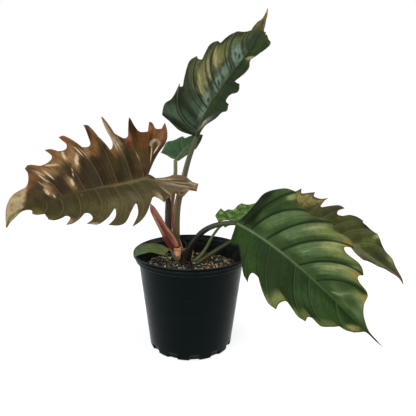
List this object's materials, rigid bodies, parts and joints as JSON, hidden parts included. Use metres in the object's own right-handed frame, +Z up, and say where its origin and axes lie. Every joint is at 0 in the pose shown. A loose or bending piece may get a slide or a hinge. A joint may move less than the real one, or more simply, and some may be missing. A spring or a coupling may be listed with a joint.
{
  "type": "potted philodendron",
  "caption": "Philodendron with large lobed caramel and green leaves on bent stalks, growing from a short stem in a tapered black nursery pot of potting mix.",
  "frame": {"origin": "centre of the pot's base, on the plane it stands on", "axes": "+Z up along the pot's axis, +X to the viewer's right across the spread of the leaves, -Y towards the viewer"},
  "size_m": [0.4627, 0.2539, 0.4584],
  "materials": {
    "pot_plastic": "satin black moulded plastic",
    "mix": "damp crumbly bark and peat",
    "stem": "rough dark stem",
    "dry_sheath": "dry and papery",
    "pink_sheath": "waxy",
    "stalk_purple": "smooth, slightly glossy",
    "stalk_olive": "smooth, striped olive and red",
    "stalk_grey": "smooth",
    "stalk_dark": "smooth",
    "stalk_green": "smooth",
    "stalk_moss": "smooth",
    "stalk_rim": "smooth",
    "blade_caramel": "waxy gloss, quilted between veins",
    "blade_top": "waxy gloss, quilted between veins",
    "blade_front": "waxy gloss, quilted between veins",
    "blade_back": "waxy gloss",
    "blade_small_right": "waxy",
    "blade_small_back": "waxy",
    "blade_rim": "waxy"
  },
  "bodies": {
    "root": {"nursery_pot": "pot_plastic", "potting_mix": "mix", "crown_stem": "stem", "dry_sheath": "dry_sheath", "leaf_sheath": "pink_sheath", "stalk_caramel": "stalk_purple", "stalk_top": "stalk_olive", "stalk_small_back": "stalk_grey", "stalk_front": "stalk_dark", "stalk_small_right": "stalk_green", "stalk_back": "stalk_moss", "stalk_rim": "stalk_rim", "leaf_caramel": "blade_caramel", "leaf_top": "blade_top", "leaf_front": "blade_front", "leaf_back": "blade_back", "leaf_small_right": "blade_small_right", "leaf_small_back": "blade_small_back", "leaf_rim": "blade_rim"}
  },
  "joints": []
}
